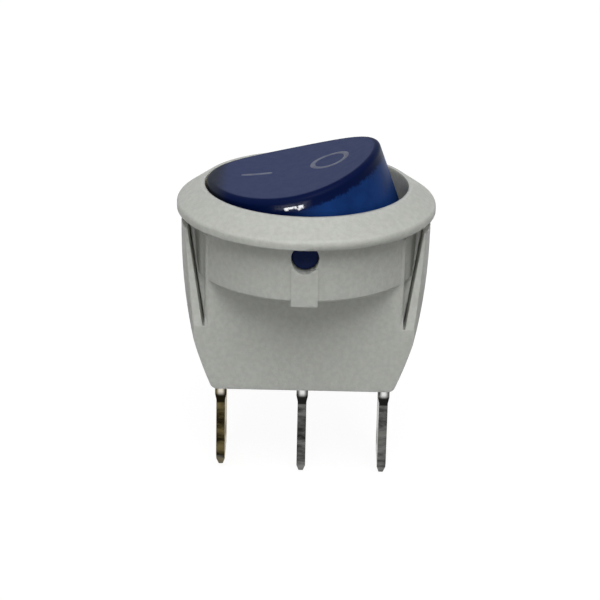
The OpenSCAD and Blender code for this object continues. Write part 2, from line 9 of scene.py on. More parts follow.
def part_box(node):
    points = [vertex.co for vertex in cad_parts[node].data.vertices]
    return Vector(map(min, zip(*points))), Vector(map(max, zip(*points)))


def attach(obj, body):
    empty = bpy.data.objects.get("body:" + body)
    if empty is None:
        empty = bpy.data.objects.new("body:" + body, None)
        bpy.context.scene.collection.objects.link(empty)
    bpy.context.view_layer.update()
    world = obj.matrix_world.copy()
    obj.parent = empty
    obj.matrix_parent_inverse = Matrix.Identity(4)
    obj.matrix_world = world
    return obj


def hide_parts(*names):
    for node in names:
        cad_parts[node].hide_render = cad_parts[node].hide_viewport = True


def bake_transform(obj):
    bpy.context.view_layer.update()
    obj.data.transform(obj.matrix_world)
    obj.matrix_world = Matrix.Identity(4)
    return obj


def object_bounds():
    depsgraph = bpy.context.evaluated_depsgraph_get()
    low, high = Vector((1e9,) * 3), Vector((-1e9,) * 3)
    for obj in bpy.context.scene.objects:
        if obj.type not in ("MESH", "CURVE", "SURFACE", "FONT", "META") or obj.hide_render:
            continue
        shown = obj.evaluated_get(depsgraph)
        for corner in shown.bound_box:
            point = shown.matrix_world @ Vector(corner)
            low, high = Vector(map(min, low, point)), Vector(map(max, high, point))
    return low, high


bl_info = {
    "name": "Round rocker switch",
    "version": (1, 0, 0),
    "blender": (4, 5, 0),
    "location": "View3D > Sidebar > Rocker switch",
    "description": "Finishes and fine shapes for a round snap-in rocker switch with a pilot lamp",
    "category": "Object",
}

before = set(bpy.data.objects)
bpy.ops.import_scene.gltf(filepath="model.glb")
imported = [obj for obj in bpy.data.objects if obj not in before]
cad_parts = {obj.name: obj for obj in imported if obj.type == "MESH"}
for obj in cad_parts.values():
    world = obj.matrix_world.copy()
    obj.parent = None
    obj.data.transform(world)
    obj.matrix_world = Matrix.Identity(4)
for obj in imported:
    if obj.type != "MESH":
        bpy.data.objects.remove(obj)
CAD_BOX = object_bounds()
MM = 0.001
TURN = 2 * math.pi


def number(name, text, value, **kind):
    """A number property, with a unit or a subtype if it has one."""
    return bpy.props.FloatProperty(name=name, description=text, default=value, precision=5, **kind)


def length(name, text, millimetres):
    """A length property, given in millimetres and kept in metres."""
    return number(name, text, millimetres * MM, unit="LENGTH")


def degrees(name, text, angle):
    """An angle property, given in degrees and kept in radians."""
    return number(name, text, math.radians(angle), subtype="ANGLE")


def place(name, text, millimetres):
    """A place property, given in millimetres and kept in metres."""
    return bpy.props.FloatVectorProperty(
        name=name, description=text, default=[v * MM for v in millimetres], precision=5, unit="LENGTH")


def colour(name, text, rgb):
    """A colour property in linear light."""
    return bpy.props.FloatVectorProperty(
        name=name, description=text, default=rgb, size=3, min=0, max=1, subtype="COLOR")


class RockerSizes(bpy.types.PropertyGroup):
    """Sizes of the rocker, in its level frame with the pivot axis at the origin."""
    tilt: degrees("Tilt", "Tilt of the rocker from level, at rest", 13)
    pivot_depth: length("Pivot depth", "Depth of the pivot axis below the seat plane", 1.2)
    skirt_r: length("Skirt radius", "Radius of the skirt's lower edge", 8.55)
    end_lean: length("End lean", "How much each end leans in, from skirt to top", 0.7)
    side_lean: length("Side lean", "How much the front and back lean in, from skirt to top", 1.1)
    height: length("Height", "Height of the dished top's middle above the pivot axis", 4.7)
    dish_r: length("Dish radius", "Radius of the dished top", 27)
    top_round: length("Edge rounding", "Rounding of the top's edge", 0.6)
    shell: length("Shell", "Thickness of the walls and top", 1.1)
    skirt_drop: length("Skirt drop", "How far the skirt reaches below the pivot axis", 0.6)
    pin_r: length("Pin radius", "Radius of the pivot pins", 1.15)
    pin_tip: length("Pin tip", "Distance from the middle to a pin's end", 9.55)
    ear_r: length("Ear radius", "Radius of the thickening round a pin", 1.85)
    post_r: length("Post radius", "Outer radius of the plunger's post", 2.2)
    bore_r: length("Bore radius", "Inner radius of the plunger's post", 1.35)
    bore_top: length("Bore top", "Upper end of the plunger's bore", 2.5)
    post_drop: length("Post drop", "How far the post reaches below the pivot axis", 4.2)
    sleeve_x: length("Sleeve offset", "Distance of the spring sleeves from the middle", 5.225)
    sleeve_y: length("Sleeve set-back", "Distance of the spring sleeves behind the middle", 3.05)
    sleeve_r: length("Sleeve radius", "Outer radius of a spring sleeve", 1.7)
    sleeve_bore: length("Sleeve bore", "Inner radius of a spring sleeve", 1.2)
    sleeve_drop: length("Sleeve drop", "How far the sleeves reach below the pivot axis", 1.2)
    lead_z: length("Lead height", "Height of the leads in the sleeves", 2.6)


class WingSizes(bpy.types.PropertyGroup):
    """Sizes of the slot behind a snap wing and of the stop rib in it."""
    body_x: length("Body end", "Distance from the middle to the body's end", 8.75)
    face_x: length("Wing face", "Distance from the middle to the inner face of a wing's tip", 10.4)
    root_z: length("Slot root", "Height of the slot's lower end", -9.45)
    tip_z: length("Wing tip", "Height of the wing's tip", -1.0)
    slot_w: length("Slot width", "Width of the slot at its lower end", 0.2)
    root_half: length("Root half width", "Half the wing's width at the slot's lower end", 5.4)
    tip_half: length("Tip half width", "Half the wing's width at its tip", 3.4)
    rib_back: length("Rib set-back", "How far the rib's ends stand back from the wing's edges", 1.4)
    rib_clear: length("Rib gap", "Gap between the rib and the wing", 0.12)
    ledge_z: length("Ledge", "Height inside the ledge, above which the rib stands on the collar", -4.8)
    wall_r: length("Collar wall", "Radius inside the collar's wall", 9.25)


class MarkSizes(bpy.types.PropertyGroup):
    """Sizes of the ON bar and OFF ring on the rocker's top."""
    mark_y: length("Set-back", "Distance of the marks behind the middle", 0.40)
    bar_x: length("Bar place", "Distance of the bar from the middle", 3.42)
    bar_len: length("Bar length", "Length of the bar", 2.75)
    bar_w: length("Bar width", "Width of the bar", 0.48)
    ring_x: length("Ring place", "Distance of the ring from the middle", 3.16)
    ring_r: length("Ring radius", "Radius of the ring's centre line", 1.56)
    stroke: length("Stroke", "Width of the ring's line", 0.46)
    rise: length("Rise", "Height of the marks over the top", 0.035)


class Finishes(bpy.types.PropertyGroup):
    """Colours of the finishes, in linear light."""
    nylon: colour("Nylon", "Off-white moulding nylon", (0.535, 0.548, 0.507))
    lens: colour("Lens", "Deep blue of the rocker's edge and skirt", (0.001, 0.0056, 0.040))
    # Painted reflection: green-blue standing for the sky's grazing reflection on the raised end's wall.
    painted_teal_sheen: colour("Lens end", "Deep teal of the wall at the rocker's raised end", (0.0004, 0.0105, 0.047))
    frost: colour("Frosted top", "Slate blue of the rocker's frosted top", (0.028, 0.0415, 0.112))
    # Painted shade: darker grey standing for the light falling off at the rocker's low end.
    painted_shade_end: colour("Worn end", "Dull grey of the rocker's low end", (0.0174, 0.0216, 0.0347))
    # Painted light: blue painted where light would shine through the rocker's wall.
    painted_glow: colour("Lens glow", "Blue where light passes through the rocker's wall", (0.0072, 0.038, 0.165))
    mark: colour("Mark", "Pale blue-grey of the marks", (0.0595, 0.074, 0.134))
    brass: colour("Brass", "Brass of the lamp's terminal", (0.33, 0.26, 0.115))
    tin: colour("Tin", "Tinned brass of the other terminals", (0.42, 0.42, 0.40))
    copper: colour("Copper", "Beryllium copper of the blade", (0.66, 0.33, 0.17))
    silver: colour("Silver", "Silver of the contacts", (0.80, 0.79, 0.77))
    steel: colour("Steel", "Spring steel", (0.42, 0.42, 0.43))
    acetal: colour("Acetal", "White acetal of the plunger", (0.68, 0.68, 0.65))
    lacquer: colour("Lacquer", "Tan lacquer of the resistor", (0.52, 0.38, 0.22))


class StageSettings(bpy.types.PropertyGroup):
    """Camera, light and floor."""
    lens_mm: number("Lens", "Focal length of the camera on a 36 mm sensor", 132.9)
    elevation: degrees("Elevation", "Angle at which the camera looks down", 21.23)
    roll: degrees("Roll", "Turn of the camera about its line of sight", 1.24)
    shift_x: number("Shift across", "Shift of the picture to the side", -0.00747)
    shift_y: number("Shift up", "Shift of the picture upwards", -0.01538)
    distance: length("Distance", "Distance from the camera to the middle of the body", 200)
    target_z: length("Target height", "Height of the point that the camera looks at", -8)
    key_place: place("Key place", "Place of the large soft box above the front", (20, -300, 430))
    key_size: length("Key size", "Width and height of the soft box", 340)
    key_power: number("Key", "Power of the soft box", 1.9, unit="POWER")
    glint_place: place("Glint place", "Place of the low strip lamp for the wall's glint", (-77, -500, 53))
    glint_aim: place("Glint aim", "Point that the strip lamp faces", (0, 0, 2))
    glint_w: length("Glint width", "Width of the strip lamp", 190)
    glint_h: length("Glint height", "Height of the strip lamp", 22)
    glint_power: number("Glint", "Power of the strip lamp", 0.38, unit="POWER")
    glint_turn: degrees("Glint turn", "Slope of the strip lamp, which follows the rocker's tilt", 13.6)
    sky: number("Sky", "Strength of the even light from all round", 0.29)


# Surfaces on grids

def grid_faces(rows, cols, start=0):
    """Quads that join neighbouring rows of a grid whose columns close into a ring."""
    here = np.arange(rows - 1)[:, None] * cols + np.arange(cols)[None, :]
    there = np.arange(rows - 1)[:, None] * cols + (np.arange(cols)[None, :] + 1) % cols
    quads = np.stack([here, there, there + cols, here + cols], axis=-1)
    return quads.reshape(-1, 4) + start


def add_object(name, mesh, angle):
    """Adds a mesh to the scene, smooth but for edges sharper than an angle in degrees."""
    mesh.shade_smooth()
    mesh.set_sharp_from_angle(angle=math.radians(angle))
    piece = bpy.data.objects.new(name, mesh)
    bpy.context.scene.collection.objects.link(piece)
    return piece


def make_piece(name, grids, attribute=None, values=None):
    """One mesh from several ring grids of points: doubled points at poles and seams are merged
    and the faces turned outwards."""
    weld = 1e-7
    points, faces, start = [], [], 0
    for g in grids:
        rows, cols = g.shape[:2]
        points.append(g.reshape(-1, 3))
        faces.append(grid_faces(rows, cols, start))
        start += rows * cols
    mesh = bpy.data.meshes.new(name)
    mesh.from_pydata(np.concatenate(points).tolist(), [], np.concatenate(faces).tolist())
    if attribute:
        layer = mesh.attributes.new(attribute, "FLOAT", "POINT")
        flat = np.concatenate([v.reshape(-1) for v in values])
        layer.data.foreach_set("value", flat.astype(np.float32))
    bm = bmesh.new()
    bm.from_mesh(mesh)
    bmesh.ops.remove_doubles(bm, verts=bm.verts, dist=weld)
    bmesh.ops.dissolve_degenerate(bm, dist=weld, edges=bm.edges)
    bmesh.ops.recalc_face_normals(bm, faces=bm.faces)
    bm.to_mesh(mesh)
    bm.free()
    return add_object(name, mesh, 50)


def turned(profile, cols, origin=(0, 0, 0), axis="Z"):
    """A turned surface: each (radius, height) of the profile becomes a ring round the axis through
    the origin."""
    a = TURN * np.arange(cols) / cols
    r, h = profile[:, 0][:, None], profile[:, 1][:, None]
    across, along, up = r * np.cos(a), r * np.sin(a), h + 0 * a
    order = {"Z": (across, along, up), "Y": (across, up, along), "X": (up, across, along)}[axis]
    return np.stack(order, axis=-1) + np.asarray(origin, float)


def arc(centre, radius, start, end, steps):
    """Points of a circular arc in the profile's plane, from one angle to another in degrees."""
    a = np.radians(np.linspace(start, end, steps))
    return np.stack([centre[0] + radius * np.cos(a), centre[1] + radius * np.sin(a)], axis=-1)


def tube(path, radius, cols):
    """A round tube: a circle carried along a path of points, square to the path's tangent, with
    closed ends."""
    tangent = np.gradient(path, axis=0)
    tangent /= np.linalg.norm(tangent, axis=1, keepdims=True)
    side = np.cross(tangent, np.array([0.0, 0.0, 1.0]))
    side /= np.linalg.norm(side, axis=1, keepdims=True)
    above = np.cross(side, tangent)
    a = (TURN * np.arange(cols) / cols)[None, :, None]
    rings = path[:, None, :] + radius * (np.cos(a) * side[:, None, :] + np.sin(a) * above[:, None, :])
    first, last = np.repeat(path[:1, None, :], cols, 1), np.repeat(path[-1:, None, :], cols, 1)
    return np.concatenate([first, rings, last])


def smooth_path(points, steps):
    """A curve through the given points: straight runs with each corner rounded by a running mean."""
    p = np.asarray(points, float)
    gone = np.concatenate([[0], np.cumsum(np.linalg.norm(np.diff(p, axis=0), axis=1))])
    s = np.linspace(0, gone[-1], steps)
    line = np.stack([np.interp(s, gone, p[:, k]) for k in range(3)], axis=-1)
    width = max(3, steps // 8) | 1
    padded = np.concatenate([
        2 * line[:1] - line[width // 2:0:-1], line, 2 * line[-1:] - line[-2:-width // 2 - 1:-1]])
    kernel = np.ones(width) / width
    return np.stack([np.convolve(padded[:, k], kernel, "valid") for k in range(3)], axis=-1)


def coil(outer_d, wire, turns, tall, steps, cols):
    """A coil spring: a circle carried along a helix whose first and last turns lie closed on themselves."""
    turn = np.linspace(0, turns, turns * steps + 1)
    free = tall - wire
    rise = np.interp(turn, [0, 1, turns - 1, turns], [0, wire, free - wire, free])
    a = TURN * turn
    mean = (outer_d - wire) / 2
    s = (TURN * np.arange(cols) / cols)[None, :]
    r = mean + wire / 2 * np.cos(s) + 0 * a[:, None]
    z = wire / 2 + rise[:, None] - wire / 2 * np.sin(s)
    rings = np.stack([r * np.cos(a)[:, None], r * np.sin(a)[:, None], z], axis=-1)
    ends = [np.stack([mean * np.cos(a[k]), mean * np.sin(a[k]), wire / 2 + rise[k]]) for k in (0, -1)]
    caps = [np.broadcast_to(e, (1, cols, 3)) for e in ends]
    return np.concatenate([caps[0], rings, caps[1]])


def at_rocker(points, s):
    """Turns points of the rocker's level frame about the pivot axis to the resting tilt."""
    c, n = math.cos(s.tilt), math.sin(s.tilt)
    x, y, z = points[..., 0], points[..., 1], points[..., 2]
    return np.stack([x * c - z * n, y, x * n + z * c - s.pivot_depth], axis=-1)


def dish(x, r):
    """Height of a hollow cylinder's floor of radius r over its lowest line."""
    return r - np.sqrt(r * r - x * x)


def rocker_ring(s, a, inset, share, drop, shrink):
    """Rings of the rocker's skin: an oval that leans in with its share of the wall's height, under a
    dished top."""
    x = (s.skirt_r - s.end_lean * share - inset) * shrink * np.cos(a)
    y = (s.skirt_r - s.side_lean * share - inset) * shrink * np.sin(a)
    top = s.height + dish(x, s.dish_r) - drop
    return np.stack([x, y, share * top - (1 - share) * s.skirt_drop], axis=-1)


def cad_copy(node, name, bevel, angle=35):
    """A copy of a CAD node with its doubles merged, flat faces joined and edges rounded."""
    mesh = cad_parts[node].data.copy()
    mesh.name = name
    mesh.materials.clear()
    bm = bmesh.new()
    bm.from_mesh(mesh)
    bmesh.ops.remove_doubles(bm, verts=bm.verts, dist=2e-6)
    bmesh.ops.dissolve_degenerate(bm, dist=1e-6, edges=bm.edges)
    bmesh.ops.dissolve_limit(
        bm, angle_limit=math.radians(0.6), verts=bm.verts, edges=bm.edges, delimit={"NORMAL"})
    bm.to_mesh(mesh)
    bm.free()
    piece = add_object(name, mesh, angle)
    rounding = piece.modifiers.new("Moulded edges", "BEVEL")
    rounding.width = bevel
    rounding.segments = 2
    rounding.limit_method = "ANGLE"
    rounding.angle_limit = math.radians(angle)
    rounding.harden_normals = True
    rounding.use_clamp_overlap = True
    joined = piece.modifiers.new("Joined points", "WELD")
    joined.merge_threshold = 2e-7
    flat = piece.modifiers.new("Flat faces", "WEIGHTED_NORMAL")
    flat.keep_sharp = True
    return piece


def settle(piece, material, body, node):
    """Gives a piece its finish and makes it stand for a CAD node on a body."""
    piece.data.materials.append(material)
    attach(piece, body)
    if node:
        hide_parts(node)


# Finishes

def node_group(name, inputs, outputs):
    """A shader node group with named float or vector inputs and float outputs, built once."""
    group = bpy.data.node_groups.new(name, "ShaderNodeTree")
    for label, kind, value in inputs:
        socket = group.interface.new_socket(label, in_out="INPUT", socket_type=kind)
        if value is not None:
            socket.default_value = value
    for label in outputs:
        group.interface.new_socket(label, in_out="OUTPUT", socket_type="NodeSocketFloat")
    return group, group.nodes.new("NodeGroupInput"), group.nodes.new("NodeGroupOutput")


def feed(tree, socket, value):
    """Links a socket to another, or sets its own value."""
    if isinstance(value, bpy.types.NodeSocket):
        tree.links.new(value, socket)
    else:
        socket.default_value = value


def fill(tree, node, **values):
    """Sets a node's inputs by name, each from a socket or a plain value."""
    for label, value in values.items():
        feed(tree, node.inputs[label.replace("_", " ")], value)


def own_value(tree, name):
    """One of the piece's own attributes, as a socket."""
    n = tree.nodes.new("ShaderNodeAttribute")
    n.attribute_name = name
    return n.outputs["Fac"]


def components(tree, vector):
    """The three parts of a vector, as sockets."""
    n = tree.nodes.new("ShaderNodeSeparateXYZ")
    tree.links.new(vector, n.inputs[0])
    return n.outputs["X"], n.outputs["Y"], n.outputs["Z"]


def stretched(tree, vector, factors):
    """A vector multiplied part by part."""
    m = tree.nodes.new("ShaderNodeVectorMath")
    m.operation = "MULTIPLY"
    tree.links.new(vector, m.inputs[0])
    feed(tree, m.inputs[1], factors)
    return m.outputs[0]


def noise(tree, vector, scale, detail, rough=0.5):
    """A noise texture on the given vector, with a fixed scale or one from a socket."""
    n = tree.nodes.new("ShaderNodeTexNoise")
    fill(tree, n, Vector=vector, Scale=scale, Detail=detail, Roughness=rough)
    return n.outputs["Fac"]


def remap(tree, value, low, high, to_low=0.0, to_high=1.0):
    """A value moved from one range to another and held inside it, with soft ends."""
    m = tree.nodes.new("ShaderNodeMapRange")
    m.interpolation_type = "SMOOTHSTEP"
    for socket, number in zip(m.inputs[1:5], (low, high, to_low, to_high)):
        socket.default_value = number
    tree.links.new(value, m.inputs["Value"])
    return m.outputs["Result"]


def arithmetic(tree, kind, first, second=0.0):
    """One step of arithmetic on sockets or numbers."""
    m = tree.nodes.new("ShaderNodeMath")
    m.operation = kind
    feed(tree, m.inputs[0], first)
    feed(tree, m.inputs[1], second)
    return m.outputs[0]


def product(tree, first, *others):
    """Several values multiplied together."""
    for other in others:
        first = arithmetic(tree, "MULTIPLY", first, other)
    return first


def between(tree, value, rise, fall):
    """1 inside a range and 0 outside it: up over the first pair of numbers and down over the second."""
    return product(tree, remap(tree, value, *rise), remap(tree, value, fall[1], fall[0]))


def shade(rgb, share):
    """A colour made darker by a share."""
    return tuple(c * share for c in rgb)


def blend_colour(tree, mask, first, second):
    """A colour between two, each a plain colour or a socket."""
    m = tree.nodes.new("ShaderNodeMix")
    m.data_type = "RGBA"
    tree.links.new(mask, m.inputs["Factor"])
    for socket, value in ((m.inputs[6], first), (m.inputs[7], second)):
        feed(tree, socket, value if isinstance(value, bpy.types.NodeSocket) else (*value, 1))
    return m.outputs[2]


def moulded_grain():
    """Group for moulded plastic: a fine spark-eroded grain, slow blotches and small changes of gloss."""
    name = "Moulded grain"
    if name in bpy.data.node_groups:
        return bpy.data.node_groups[name]
    g, i, o = node_group(name, [
        ("Vector", "NodeSocketVector", None), ("Grain scale", "NodeSocketFloat", 9000.0),
        ("Blotch scale", "NodeSocketFloat", 260.0)], ["Height", "Blotch", "Gloss"])
    g.links.new(noise(g, i.outputs["Vector"], i.outputs["Grain scale"], 3, 0.6), o.inputs["Height"])
    g.links.new(noise(g, i.outputs["Vector"], i.outputs["Blotch scale"], 4, 0.55), o.inputs["Blotch"])
    g.links.new(noise(g, i.outputs["Vector"], 1400.0, 2), o.inputs["Gloss"])
    return g


def rolled_metal():
    """Group for sheet metal: streaks along the strip, tarnish in patches and small changes of gloss."""
    name = "Rolled metal"
    if name in bpy.data.node_groups:
        return bpy.data.node_groups[name]
    g, i, o = node_group(name, [
        ("Vector", "NodeSocketVector", None), ("Stretch", "NodeSocketVector", (1.0, 1.0, 1.0)),
        ("Patch scale", "NodeSocketFloat", 700.0)], ["Height", "Tarnish", "Gloss"])
    strip = stretched(g, i.outputs["Vector"], i.outputs["Stretch"])
    g.links.new(noise(g, strip, 3500.0, 3, 0.6), o.inputs["Height"])
    g.links.new(noise(g, i.outputs["Vector"], i.outputs["Patch scale"], 4, 0.6), o.inputs["Tarnish"])
    g.links.new(noise(g, strip, 1600.0, 2), o.inputs["Gloss"])
    return g


def start_material(name):
    """A new material with its node tree, its Principled shader and a socket of Object coordinates."""
    material = bpy.data.materials.new(name)
    material.use_nodes = True
    tree = material.node_tree
    shader = next(n for n in tree.nodes if n.type == "BSDF_PRINCIPLED")
    coordinates = tree.nodes.new("ShaderNodeTexCoord")
    return material, tree, shader, coordinates.outputs["Object"]


def place_group(tree, group, vector, **values):
    """A group node fed by a vector, with its other inputs set."""
    n = tree.nodes.new("ShaderNodeGroup")
    n.node_tree = group
    fill(tree, n, Vector=vector, **values)
    return n


def add_bump(tree, shader, height, strength, depth):
    """A bump of the given depth in metres on the shader's normal."""
    b = tree.nodes.new("ShaderNodeBump")
    fill(tree, b, Strength=strength, Distance=depth, Height=height)
    fill(tree, shader, Normal=b.outputs["Normal"])


def plastic(name, rgb, gloss=(0.42, 0.58), grain=9000.0, blotch=900.0, depth=0.02 * MM, vary=0.05, milky=0.0):
    """A moulded plastic of one colour with grain and slight blotches; a milky one lets light wander
    inside it."""
    if name in bpy.data.materials:
        return bpy.data.materials[name]
    material, tree, shader, vector = start_material(name)
    g = place_group(tree, moulded_grain(), vector, Grain_scale=grain, Blotch_scale=blotch)
    mask = remap(tree, g.outputs["Blotch"], 0.3, 0.7)
    fill(tree, shader, Base_Color=blend_colour(tree, mask, shade(rgb, 1 - 2 * vary), rgb),
         Roughness=remap(tree, g.outputs["Gloss"], 0.3, 0.7, *gloss), Subsurface_Weight=milky,
         Subsurface_Radius=(1.0, 0.95, 0.85), Subsurface_Scale=1.4 * MM)
    add_bump(tree, shader, g.outputs["Height"], 0.5, depth)
    return material


def metal(name, rgb, gloss=(0.22, 0.42), stretch=(1.0, 1.0, 0.12), tarnish=0.55, depth=0.01 * MM):
    """A sheet metal or wire with streaks and darker tarnish in patches."""
    if name in bpy.data.materials:
        return bpy.data.materials[name]
    material, tree, shader, vector = start_material(name)
    g = place_group(tree, rolled_metal(), vector, Stretch=stretch)
    mask = remap(tree, g.outputs["Tarnish"], 0.32, 0.62)
    fill(tree, shader, Base_Color=blend_colour(tree, mask, shade(rgb, tarnish), rgb), Metallic=1.0,
         Roughness=remap(tree, g.outputs["Gloss"], 0.3, 0.7, *gloss))
    add_bump(tree, shader, g.outputs["Height"], 0.4, depth)
    return material


def lens_finish(f):
    """Translucent blue: a frosted top whose low end is darkened as painted shade, a dark edge with a small
    polished patch, and a wall with painted light shining through it towards the raised end, where it is rough
    and tinted green-blue as a painted reflection. The rocker's own attribute runs from 0 at the skirt to 1
    under the edge, 2 on the top and 3 at its middle."""
    material, tree, shader, vector = start_material("lens_moulded")
    g = place_group(tree, moulded_grain(), vector, Grain_scale=11000.0, Blotch_scale=420.0)
    x, y, _ = components(tree, vector)
    zone = own_value(tree, "zone")
    chips = noise(tree, vector, 2600.0, 3, 0.6)
    stray = product(tree, arithmetic(tree, "SUBTRACT", chips, 0.5), 0.16)
    jagged = arithmetic(tree, "ADD", zone, stray)

    frosted = remap(tree, zone, 1.8, 2.06)
    # Painted light: a blue glowing patch painted over the wall from the middle to the raised end, where light
    # would shine through the wall.
    wall = remap(tree, jagged, 0.93, 0.85)
    painted_glow_span = between(tree, x, (-2 * MM, 2 * MM), (7 * MM, 8.8 * MM))
    ragged = remap(tree, g.outputs["Blotch"], 0.25, 0.6, 0.55, 1.0)
    painted_glow = product(tree, wall, painted_glow_span, ragged)
    # Painted reflection: the wall at the raised end is tinted green-blue where the sky would reflect at a
    # grazing angle.
    raised = remap(tree, x, 5.4 * MM, 6.6 * MM)
    # Painted shade: the low end is darkened where the light falls off over it.
    painted_shade_end = remap(tree, x, -6.6 * MM, -8.3 * MM)
    skin = blend_colour(tree, raised, f.lens, f.painted_teal_sheen)
    skin = blend_colour(tree, painted_glow, skin, f.painted_glow)
    skin = blend_colour(tree, frosted, skin, f.frost)
    skin = blend_colour(tree, painted_shade_end, skin, f.painted_shade_end)

    rough = tree.nodes.new("ShaderNodeMix")
    tree.links.new(remap(tree, zone, 1.1, 1.6), rough.inputs["Factor"])
    tree.links.new(remap(tree, x, 6.6 * MM, 8.2 * MM, 0.34, 0.8), rough.inputs[2])
    tree.links.new(remap(tree, g.outputs["Gloss"], 0.3, 0.7, 0.5, 0.55), rough.inputs[3])
    add_bump(tree, shader, product(tree, g.outputs["Height"], frosted), 0.12, 0.012 * MM)

    along = between(tree, x, (-3.4 * MM, -2.6 * MM), (-0.2 * MM, 0.6 * MM))
    upright = between(tree, jagged, (0.89, 0.95), (1.04, 1.14))
    front = remap(tree, y, -3 * MM, -5 * MM)
    polished = product(tree, along, upright, front, remap(tree, chips, 0.33, 0.49, 0.0, 0.8))
    fill(tree, shader, Base_Color=skin, Roughness=rough.outputs[0], IOR=1.12, Coat_Weight=polished,
         Coat_Roughness=0.06)
    return material


def glass_finish():
    """Thin lamp glass with faint ripples."""
    material, tree, shader, vector = start_material("glass_blown")
    g = place_group(tree, moulded_grain(), vector, Grain_scale=900.0)
    fill(tree, shader, Base_Color=(0.95, 0.96, 0.97, 1), Transmission_Weight=1.0, IOR=1.5,
         Roughness=remap(tree, g.outputs["Gloss"], 0.3, 0.7, 0.02, 0.08))
    add_bump(tree, shader, g.outputs["Height"], 0.2, 0.02 * MM)
    return material


def banded_lacquer(f):
    """Resistor lacquer with four plain value rings, placed by the piece's own attribute, which runs from 0
    to 1 along it."""
    material, tree, shader, vector = start_material("lacquer_banded")
    ramp = tree.nodes.new("ShaderNodeValToRGB")
    ramp.color_ramp.interpolation = "CONSTANT"
    tan, ring_w = (*f.lacquer, 1), 0.07
    brown, black = (0.12, 0.04, 0.02, 1), (0.03, 0.03, 0.03, 1)
    yellow, gold = (0.55, 0.4, 0.03, 1), (0.42, 0.27, 0.06, 1)
    stops = ramp.color_ramp.elements
    stops[0].color = tan
    stops.remove(stops[1])
    for start, ring in ((0.2, brown), (0.38, black), (0.56, yellow), (0.78, gold)):
        stops.new(start).color = ring
        stops.new(start + ring_w).color = tan
    fill(tree, ramp, Fac=own_value(tree, "along"))
    g = place_group(tree, moulded_grain(), vector, Grain_scale=5000.0)
    fill(tree, shader, Base_Color=ramp.outputs["Color"],
         Roughness=remap(tree, g.outputs["Gloss"], 0.3, 0.7, 0.3, 0.45))
    add_bump(tree, shader, g.outputs["Height"], 0.4, 0.01 * MM)
    return material


def blade_finish(name, rgb):
    """A blade terminal: rolled faces in the metal's own colour, and dark sheared edges with ripples across
    them, their darkness partly painted dark reflection. The bead under the floor carries a painted highlight
    above and a painted shadow below. The blade's own attribute is 1 on its edges."""
    material, tree, shader, vector = start_material(name)
    g = place_group(tree, rolled_metal(), vector, Stretch=(1.0, 1.0, 0.12))
    x, _, z = components(tree, vector)
    ripple = noise(tree, stretched(tree, vector, (0.3, 0.3, 1.0)), 1000.0, 4, 0.68)
    # Painted dark reflection: the sheared edges are made near black with light ripple bands, over their real
    # shear texture.
    sheared = blend_colour(tree, remap(tree, ripple, 0.33, 0.70), shade(rgb, 0.03), shade(rgb, 0.36))
    # Painted shadow: a dark band under the bead.
    painted_shadow_band = between(tree, z, (-18.2 * MM, -18.05 * MM), (-17.4 * MM, -17.2 * MM))
    sheared = blend_colour(tree, painted_shadow_band, sheared, shade(rgb, 0.03))

    pitch = 7.4 * MM
    from_middle = arithmetic(tree, "ABSOLUTE", x)
    from_end = arithmetic(tree, "ABSOLUTE", arithmetic(tree, "SUBTRACT", from_middle, pitch))
    across = arithmetic(tree, "MINIMUM", from_middle, from_end)
    # Painted highlight: a light band on the bead, across the middle of each blade's edge.
    bead = between(tree, z, (-17.5 * MM, -17.0 * MM), (-16.8 * MM, -16.4 * MM))
    painted_highlight_band = product(tree, bead, remap(tree, across, 0.42 * MM, 0.08 * MM))
    sheared = blend_colour(tree, painted_highlight_band, sheared, tuple(0.6 * c + 0.45 for c in rgb))

    face = blend_colour(tree, remap(tree, g.outputs["Tarnish"], 0.32, 0.62), shade(rgb, 0.6), rgb)
    edge = remap(tree, own_value(tree, "edge"), 0.35, 0.75)
    fill(tree, shader, Base_Color=blend_colour(tree, edge, face, sheared), Metallic=1.0,
         Roughness=remap(tree, g.outputs["Gloss"], 0.3, 0.7, 0.25, 0.45))
    height = arithmetic(tree, "ADD", g.outputs["Height"], product(tree, ripple, 4.0))
    add_bump(tree, shader, height, 0.5, 0.02 * MM)
    return material


def nylon_finish(f):
    """Milky white nylon with a coarse spark-eroded grain."""
    return plastic(
        "nylon_moulded", f.nylon, grain=5200.0, blotch=2200.0, depth=0.06 * MM, vary=0.055, milky=0.7)


def tin_finish(f):
    """The dull tin of the leads."""
    return metal("tinned_wire", f.tin)


def steel_finish(f):
    """Drawn spring wire."""
    return metal("spring_wire", f.steel, stretch=(0.5, 0.5, 1.0))


# Operators, one for each piece or group of like pieces

